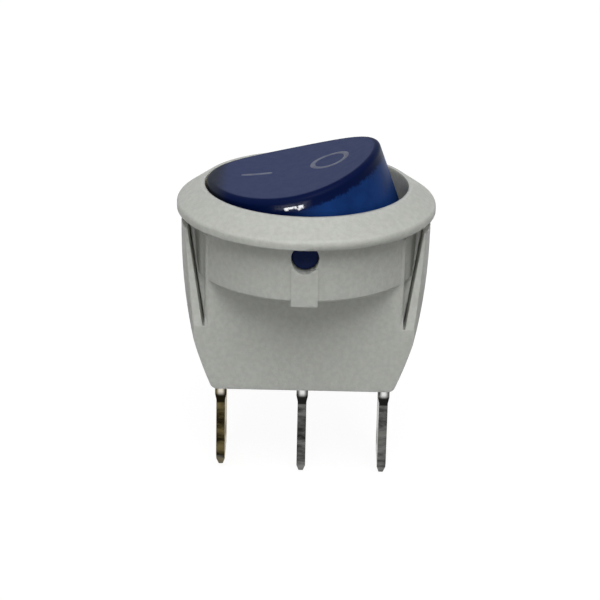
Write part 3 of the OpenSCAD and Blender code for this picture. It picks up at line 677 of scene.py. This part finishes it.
class SWITCH_OT_stage(bpy.types.Operator):
    """Makes the camera, the soft light and a pale floor under the tabs"""
    bl_idname = "switch.stage"
    bl_label = "Stage"

    def execute(self, context):
        s = context.scene.switch_stage
        scene = context.scene
        scene.view_settings.view_transform = "Standard"
        camera = bpy.data.objects.new("camera", bpy.data.cameras.new("camera"))
        scene.collection.objects.link(camera)
        camera.data.lens = s.lens_mm
        camera.data.sensor_width = 36
        camera.data.clip_start = 0.005
        camera.data.shift_x = s.shift_x
        camera.data.shift_y = s.shift_y
        e = s.elevation
        ahead = Vector((0, math.cos(e), -math.sin(e)))
        up = Vector((0, math.sin(e), math.cos(e)))
        turn = Matrix((Vector((1, 0, 0)), up, -ahead)).transposed() @ Matrix.Rotation(s.roll, 3, "Z")
        stand = Vector((0, 0, s.target_z)) - ahead * s.distance
        camera.matrix_world = Matrix.Translation(stand) @ turn.to_4x4()
        scene.camera = camera

        self.lamp("key", s.key_place, (0, 0, 0), (s.key_size, s.key_size), s.key_power)
        self.lamp("glint", s.glint_place, s.glint_aim, (s.glint_w, s.glint_h), s.glint_power, s.glint_turn)
        self.sky(scene, s.sky)
        self.floor(float(CAD_BOX[0][2]))
        return {"FINISHED"}

    def lamp(self, name, stand, aim, size, power, slope=0.0):
        """An oblong lamp that faces a point, turned by its slope about that line."""
        light = bpy.data.lights.new(name, "AREA")
        light.shape = "RECTANGLE"
        light.size, light.size_y = size
        light.energy = power
        lamp = bpy.data.objects.new(name, light)
        lamp.location = stand
        look = (Vector(aim) - Vector(stand)).to_track_quat("-Z", "Y").to_matrix()
        lamp.rotation_euler = (look @ Matrix.Rotation(slope, 3, "Z")).to_euler()
        bpy.context.scene.collection.objects.link(lamp)

    def seen(self, tree):
        """1 for rays that show the background: from the camera, or by way of gloss or glass."""
        rays = tree.nodes.new("ShaderNodeLightPath")
        both = arithmetic(tree, "MAXIMUM", rays.outputs["Is Camera Ray"], rays.outputs["Is Glossy Ray"])
        return arithmetic(tree, "MAXIMUM", both, rays.outputs["Is Transmission Ray"])

    def sky(self, scene, strength):
        """Even light from all round that looks white where it is seen."""
        world = bpy.data.worlds.new("sky")
        scene.world = world
        world.use_nodes = True
        tree = world.node_tree
        background = next(n for n in tree.nodes if n.type == "BACKGROUND")
        fill(tree, background, Color=(1, 1, 1, 1), Strength=remap(tree, self.seen(tree), 0, 1, strength, 1))

    def floor(self, height):
        """A wide disc just under the tabs, which looks near white and takes soft shadows."""
        radii, gap = (0, 0.05, 0.3, 3.0), 0.02 * MM
        rings = turned(np.array([[r, 0] for r in radii], float), 96, (0, 0, height - gap))
        floor = make_piece("floor", [rings])
        material, tree, shader, vector = start_material("floor")
        mask = remap(tree, noise(tree, vector, 30.0, 3), 0.3, 0.7)
        grey = blend_colour(tree, mask, (0.125, 0.125, 0.125), (0.14, 0.14, 0.14))
        fill(tree, shader, Base_Color=grey, Roughness=0.9, Specular_IOR_Level=0.1,
             Emission_Color=(1, 1, 1, 1), Emission_Strength=remap(tree, self.seen(tree), 0, 1, 0, 0.92))
        floor.data.materials.append(material)


class SWITCH_OT_housing(bpy.types.Operator):
    """Makes the white housing with softly moulded edges"""
    bl_idname = "switch.housing"
    bl_label = "Housing"

    def execute(self, context):
        f = context.scene.switch_finishes
        piece = cad_copy("housing", "housing_moulding", 0.09 * MM, angle=30)
        self.flare(piece.data, context.scene.switch_rocker.pivot_depth)
        settle(piece, nylon_finish(f), "housing", "housing")
        return {"FINISHED"}

    def flare(self, mesh, depth):
        """Draws the lower half of each pivot hole's outer rim down into the key pad, the most at its foot."""
        hole_r, rim_y, near, drop = 1.2 * MM, 9.8 * MM, 0.03 * MM, 0.25 * MM
        points = np.empty(3 * len(mesh.vertices), np.float32)
        mesh.vertices.foreach_get("co", points)
        x, y, z = points.reshape(-1, 3).T
        up = z + depth
        rim = (np.abs(np.hypot(x, up) - hole_r) < near) & (np.abs(y) > rim_y) & (up < 0)
        z[rim] += drop * up[rim] / hole_r
        mesh.vertices.foreach_set("co", points)
        mesh.update()


class SWITCH_OT_wing_ribs(bpy.types.Operator):
    """Makes the stop ribs that stand on the body's ends behind the snap wings"""
    bl_idname = "switch.wing_ribs"
    bl_label = "Wing ribs"

    def execute(self, context):
        w = context.scene.switch_wings
        piece = make_piece("wing_ribs", [self.rib(w, 1), self.rib(w, -1)])
        settle(piece, nylon_finish(context.scene.switch_finishes), "housing", None)
        return {"FINISHED"}

    def rib(self, w, side):
        """Level rings from the slot's root to the wing's tip, each an oblong with two round corners. The
        outer face runs parallel to the wing's inner face and the ends stand back from the wing's edges. The
        inner face is sunk in the body's flat end wall, and in the collar's round wall above the ledge."""
        edge, short, sunk = 0.15 * MM, 0.3 * MM, 0.4 * MM
        z = np.linspace(w.root_z, w.tip_z - short, 33)[:, None]
        up = (z - w.root_z) / (w.tip_z - w.root_z)
        outer = w.body_x + w.slot_w - w.rib_clear + up * (w.face_x - w.body_x - w.slot_w)
        half = w.root_half - w.rib_back + up * (w.tip_half - w.root_half)
        a = np.radians(np.linspace(0, 90, 7))
        corner_x, corner_y = outer - edge + edge * np.cos(a), half - edge + edge * np.sin(a)
        inner_y = half * np.linspace(1, -1, 15)
        inner_x = np.where(z > w.ledge_z, np.sqrt(w.wall_r ** 2 - inner_y ** 2), w.body_x - sunk)
        x = np.concatenate([corner_x, np.minimum(inner_x, outer - edge), corner_x[:, ::-1]], axis=1)
        y = np.concatenate([corner_y, inner_y, -corner_y[:, ::-1]], axis=1)
        rings = np.stack([side * x, y, z + 0 * x], axis=-1)
        middle = rings.mean(axis=1, keepdims=True)
        return np.concatenate([middle[:1] + 0 * rings[:1], rings, middle[-1:] + 0 * rings[-1:]])


class SWITCH_OT_rocker(bpy.types.Operator):
    """Makes the blue rocker: shell, pivot pins, plunger post and spring sleeves"""
    bl_idname = "switch.rocker"
    bl_label = "Rocker"

    def execute(self, context):
        s = context.scene.switch_rocker
        f = context.scene.switch_finishes
        plain, sides = 1.89, (1, -1)
        sleeve = s.sleeve_bore, s.lead_z + 0.5 * MM, s.sleeve_r, s.sleeve_drop, 0.1 * MM, 56
        extras = [self.barrel(s, s.bore_r, s.bore_top, s.post_r, s.post_drop, 0.12 * MM, 64)]
        extras += [self.barrel(s, *sleeve, (side * s.sleeve_x, s.sleeve_y, 0)) for side in sides]
        extras += [part(s, side) for part in (self.pin, self.ear) for side in sides]
        shell, zone = self.shell(s)
        zones = [zone] + [np.full(extra.shape[:2], plain) for extra in extras]
        piece = make_piece("rocker_lens", [at_rocker(g, s) for g in [shell] + extras], "zone", zones)
        settle(piece, lens_finish(f), "rocker", "rocker")
        return {"FINISHED"}

    def shell(self, s):
        """Rows run from the top's middle over the rounded edge, down the wall, round the skirt's lip
        and up the hollow to its middle."""
        a = TURN * np.arange(240) / 240
        b = np.radians(np.linspace(90, 0, 13))
        share = np.linspace(1, 0, 25)[1:]
        inner = np.linspace(0, 1, 17)
        top = np.linspace(0, 1, 31)[:-1]
        roof = np.linspace(1, 0, 17)[1:]
        lip = 0.12 * MM
        inset = np.concatenate([0 * top + s.top_round, s.top_round * (1 - np.cos(b)), 0 * share,
                                [lip], [s.shell - lip], 0 * inner + s.shell, 0 * roof + s.shell])
        shares = np.concatenate([0 * top + 1, 0 * b + 1, np.maximum(share, 0.02), [0.0], [0.0],
                                 np.maximum(inner, 0.02), 0 * roof + 1])
        drop = np.concatenate([0 * top, s.top_round * (1 - np.sin(b)), 0 * share + s.top_round,
                               [0], [0], 0 * inner + s.shell, 0 * roof + s.shell])
        shrink = np.concatenate([top, 0 * b + 1, 0 * share + 1, [1], [1], 0 * inner + 1, roof])
        zone = np.concatenate([3 - top, 1 + b / (math.pi / 2), share, [0], [0], 0 * inner, 0 * roof])
        points = rocker_ring(s, a, *(v[:, None] for v in (inset, shares, drop, shrink)))
        return points, np.repeat(zone[:, None], len(a), 1)

    def barrel(self, s, bore, bore_top, outer, drop, edge, cols, origin=(0, 0, 0)):
        """The plunger's post or a spring's sleeve: a turned tube with a rounded lip, open below and closed
        above by the bore's end."""
        top = s.height - s.shell / 2
        profile = np.concatenate([
            [[0, bore_top], [bore, bore_top]],
            arc((bore + edge, edge - drop), edge, 180, 270, 5),
            arc((outer - edge, edge - drop), edge, 270, 360, 5),
            [[outer, top], [0, top]]])
        return turned(profile, cols, origin)

    def pin(self, s, side):
        """A turned pivot pin with a rounded, slightly hollow end."""
        edge, hollow = 0.16 * MM, s.pin_tip - 0.08 * MM
        profile = np.concatenate([
            [[0, s.skirt_r - s.shell], [s.pin_r, s.skirt_r - s.shell]],
            arc((s.pin_r - edge, s.pin_tip - edge), edge, 0, 90, 7),
            [[0.55 * s.pin_r, s.pin_tip], [0.45 * s.pin_r, hollow], [0, hollow]]])
        return turned(profile * [1, side], 64, axis="Y")

    def ear(self, s, side):
        """A turned disc that thickens the skirt round a pin."""
        edge = 0.12 * MM
        inner, outer = s.skirt_r - 1.6 * s.shell, s.skirt_r - 0.3 * s.shell
        profile = np.concatenate([
            [[0, inner]], arc((s.ear_r - edge, inner + edge), edge, -90, 0, 5),
            [[s.ear_r, outer], [0, outer]]])
        return turned(profile * [1, side], 64, axis="Y")


class SWITCH_OT_marks(bpy.types.Operator):
    """Makes the ON bar and the OFF ring on the rocker's top"""
    bl_idname = "switch.marks"
    bl_label = "Marks"

    def execute(self, context):
        s = context.scene.switch_rocker
        m = context.scene.switch_marks
        f = context.scene.switch_finishes
        finish = plastic("mark_print", f.mark, gloss=(0.45, 0.6), grain=12000.0, vary=0.12)
        a = TURN * np.arange(160) / 160
        out = np.stack([np.cos(a), np.sin(a)], axis=-1)
        ring = [m.ring_x, m.mark_y] + m.ring_r * out
        self.stroke("mark_off", ring, out, m.stroke / 2, m.rise, s, finish, closed=True)

        half, cap, run = m.bar_w / 2, 25, 30
        reach = m.bar_len / 2 - half
        x = np.concatenate([np.full(cap, reach), np.linspace(reach, -reach, run),
                            np.full(cap, -reach), np.linspace(-reach, reach, run)])
        bar = np.stack([x - m.bar_x, 0 * x + m.mark_y], axis=-1)
        a = np.radians(np.concatenate([np.linspace(-90, 90, cap), np.full(run, 90),
                                       np.linspace(90, 270, cap), np.full(run, 270)]))
        out = np.stack([np.cos(a), np.sin(a)], axis=-1)
        self.stroke("mark_on", bar, out, half, m.rise, s, finish, closed=False)
        return {"FINISHED"}

    def stroke(self, name, line, out, half, rise, s, finish, closed):
        """A low rounded bead along a flat line: its cross-section is half a flat oval over a flat underside
        that is sunk in the dished top. A closed line carries the whole section; an open one carries half of
        it round the line."""
        t = np.linspace(0, math.pi, 11) if closed else np.linspace(0, math.pi / 2, 7)
        reach = np.concatenate([np.cos(t[-1:]), [1], np.cos(t), np.cos(t[-1:])[:closed]])
        lift = np.concatenate([[-1, -1], np.sin(t), [-1] * closed])
        flat = line + half * reach[:, None, None] * out
        height = s.height + dish(flat[..., 0], s.dish_r) + rise * lift[:, None]
        points = np.concatenate([flat, height[..., None]], axis=-1)
        piece = make_piece(name, [at_rocker(points, s)])
        settle(piece, finish, "rocker", None)


class SWITCH_OT_terminals(bpy.types.Operator):
    """Makes the three blade terminals with rounded edges, darkened partly as painted reflection: brass for
    the lamp, tinned for the rest
    """
    bl_idname = "switch.terminals"
    bl_label = "Terminals"

    def execute(self, context):
        f = context.scene.switch_finishes
        brass, tin = blade_finish("brass_blade", f.brass), blade_finish("tinned_blade", f.tin)
        for node, finish, slot in (("terminal_lamp", brass, "brass"), ("terminal_common", tin, "tinned"),
                                   ("terminal_load", tin, "tinned")):
            piece = cad_copy(node, node + "_blade", 0.07 * MM)
            self.mark_edges(piece.data)
            settle(piece, finish, "housing", node)
        return {"FINISHED"}

    def mark_edges(self, mesh):
        """Gives each face the share of its direction that points along the blade's width: 1 on
        sheared edges."""
        normals = np.empty(3 * len(mesh.polygons), np.float32)
        mesh.polygons.foreach_get("normal", normals)
        layer = mesh.attributes.new("edge", "FLOAT", "FACE")
        layer.data.foreach_set("value", np.abs(normals.reshape(-1, 3)[:, 1]))


class SWITCH_OT_contacts(bpy.types.Operator):
    """Makes the see-saw blade and the two contact rivets"""
    bl_idname = "switch.contacts"
    bl_label = "Contacts"

    def execute(self, context):
        f = context.scene.switch_finishes
        silver = metal("silver_rivet", f.silver, gloss=(0.15, 0.3), stretch=(1, 1, 1), tarnish=0.7)
        copper = metal("copper_strip", f.copper, gloss=(0.2, 0.36), stretch=(0.12, 1, 1), tarnish=0.7)
        blade = cad_copy("contact_blade", "contact_see_saw", 0.05 * MM)
        settle(blade, copper, "blade", "contact_blade")
        for node, body in (("load_contact", "housing"), ("blade_contact", "blade")):
            piece = cad_copy(node, node + "_rivet", 0.05 * MM)
            settle(piece, silver, body, node)
        return {"FINISHED"}


class SWITCH_OT_plunger(bpy.types.Operator):
    """Makes the plunger as a turned pin with a round tip and a spigot"""
    bl_idname = "switch.plunger"
    bl_label = "Plunger"

    def execute(self, context):
        s = context.scene.switch_rocker
        f = context.scene.switch_finishes
        r, spigot_r, spigot_h, edge = 1.27 * MM, 0.55 * MM, 1.0 * MM, 0.1 * MM
        tip, top = -6.0 * MM, -1.2 * MM
        profile = np.concatenate([
            arc((0, tip + r), r, -90, 0, 21),
            arc((r - edge, top - edge), edge, 0, 90, 6),
            [[spigot_r, top]],
            arc((spigot_r - edge, top + spigot_h - edge), edge, 0, 90, 6),
            [[0, top + spigot_h]]])
        piece = make_piece("plunger_pin", [at_rocker(turned(profile, 64), s)])
        finish = plastic("acetal_turned", f.acetal, gloss=(0.3, 0.42))
        settle(piece, finish, "plunger", "plunger")
        return {"FINISHED"}


class SWITCH_OT_springs(bpy.types.Operator):
    """Makes the plunger's spring and the two springs that feed the lamp"""
    bl_idname = "switch.springs"
    bl_label = "Springs"

    def execute(self, context):
        s = context.scene.switch_rocker
        finish = steel_finish(context.scene.switch_finishes)
        for node in ("lamp_spring", "load_spring"):
            low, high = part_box(node)
            x, y = (low.x + high.x) / 2, s.sleeve_y
            points = coil(outer_d=1.2 * MM, wire=0.24 * MM, turns=11, tall=high.z - low.z, steps=24, cols=10)
            points = points + [x, y, low.z]
            piece = make_piece(node + "_coil", [points])
            self.finish(piece, finish, node)
            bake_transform(piece)
        low, high = -1.15 * MM, s.bore_top - 0.05 * MM
        points = coil(outer_d=2.1 * MM, wire=0.34 * MM, turns=6, tall=high - low, steps=28, cols=12)
        piece = make_piece("plunger_coil", [at_rocker(points + [0, 0, low], s)])
        self.finish(piece, finish, "plunger_spring")
        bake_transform(piece)
        return {"FINISHED"}

    def finish(self, piece, material, node):
        """Gives a spring its finish and makes it stand for a CAD node."""
        piece.data.materials.append(material)
        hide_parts(node)


class SWITCH_OT_pilot_lamp(bpy.types.Operator):
    """Makes the pilot lamp, its resistor and the three leads"""
    bl_idname = "switch.pilot_lamp"
    bl_label = "Pilot lamp"

    def execute(self, context):
        s = context.scene.switch_rocker
        f = context.scene.switch_finishes
        rear, r, tall, edge = 0.6 * MM, 1.5 * MM, 5.2 * MM, 0.35 * MM
        middle = (-3.9 * MM, 0, 2.15 * MM)
        profile = np.concatenate([
            [[0, rear]], arc((r - edge, rear - edge), edge, 90, 0, 7),
            arc((0, rear - tall + r), r, 0, -90, 17)])
        glass = make_piece("pilot_lamp_glass", [at_rocker(turned(profile, 64, middle, "Y"), s)])
        settle(glass, glass_finish(), "rocker", "pilot_lamp")

        body, along = self.resistor()
        piece = make_piece("resistor_body", [at_rocker(body, s)], "along", [along])
        settle(piece, banded_lacquer(f), "rocker", "resistor")

        sx, sy, sr, lz = s.sleeve_x / MM, s.sleeve_y / MM, s.sleeve_r / MM, s.lead_z / MM
        gap_x = -(s.post_r / MM + sx - sr) / 2
        routes = {
            "lamp_lead": [(-4.5, 0.6, 2.15), (-4.5, 1.1, 2.15), (-sx, sy - sr, lz), (-sx, sy + 0.6, lz)],
            "link_lead": [(-3.3, 0.6, 2.15), (-3.3, 1.1, 2.15), (gap_x, sy, lz), (-2.7, 4.3, 2.65),
                          (-1.7, 4.3, 2.65)],
            "resistor_lead": [(1.7, 4.3, 2.65), (2.2, 4.3, 2.65), (sx - sr, sy, lz), (sx + 0.6, sy, lz)],
        }
        for node, route in routes.items():
            path = smooth_path(np.array(route) * MM, 60)
            piece = make_piece(node + "_wire", [at_rocker(tube(path, 0.25 * MM, 14), s)])
            settle(piece, tin_finish(f), "rocker", node)
        return {"FINISHED"}

    def resistor(self):
        """A turned body with swollen ends and round shoulders, and each point's share of its length."""
        middle, end, big, waist, cols = (0, 4.3 * MM, 2.65 * MM), 1.7 * MM, 0.85 * MM, 0.7 * MM, 48
        turn = np.linspace(0, math.pi / 2, 6)
        inset = 0.22 * MM * (1 - np.cos(turn))
        shoulder = big * (0.72 + 0.28 * np.sin(turn))
        x = np.concatenate([[-end], inset - end, np.linspace(-1.4, 1.4, 41) * MM, end - inset[::-1], [end]])
        radius = waist + (big - waist) * np.clip((np.abs(x) / MM - 0.75) / 0.4, 0, 1) ** 2
        radius[1:7], radius[-7:-1] = shoulder, shoulder[::-1]
        radius[[0, -1]] = 0
        along = np.repeat(((x + end) / (2 * end))[:, None], cols, 1)
        return turned(np.stack([radius, x], axis=-1), cols, middle, "X"), along


OPERATORS = (SWITCH_OT_stage, SWITCH_OT_housing, SWITCH_OT_wing_ribs, SWITCH_OT_rocker, SWITCH_OT_marks,
             SWITCH_OT_terminals, SWITCH_OT_contacts, SWITCH_OT_plunger, SWITCH_OT_springs,
             SWITCH_OT_pilot_lamp)
GROUPS = {"switch_wings": WingSizes, "switch_rocker": RockerSizes, "switch_marks": MarkSizes,
          "switch_finishes": Finishes, "switch_stage": StageSettings}


class SWITCH_PT_panel(bpy.types.Panel):
    """Lists the sizes, the finishes and the operators"""
    bl_idname = "SWITCH_PT_panel"
    bl_label = "Rocker switch"
    bl_space_type = "VIEW_3D"
    bl_region_type = "UI"
    bl_category = "Rocker switch"

    def draw(self, context):
        for key, group in GROUPS.items():
            box = self.layout.box()
            for name in group.__annotations__:
                box.prop(getattr(context.scene, key), name)
        for operator in OPERATORS:
            self.layout.operator(operator.bl_idname)


def register():
    for cls in (*GROUPS.values(), *OPERATORS, SWITCH_PT_panel):
        bpy.utils.register_class(cls)
    for key, group in GROUPS.items():
        setattr(bpy.types.Scene, key, bpy.props.PointerProperty(type=group))


def unregister():
    for key in GROUPS:
        delattr(bpy.types.Scene, key)
    for cls in (SWITCH_PT_panel, *reversed(OPERATORS), *reversed(list(GROUPS.values()))):
        bpy.utils.unregister_class(cls)


def main():
    register()
    for operator in OPERATORS:
        group, name = operator.bl_idname.split(".")
        getattr(getattr(bpy.ops, group), name)()


if __name__ == "__main__":
    main()
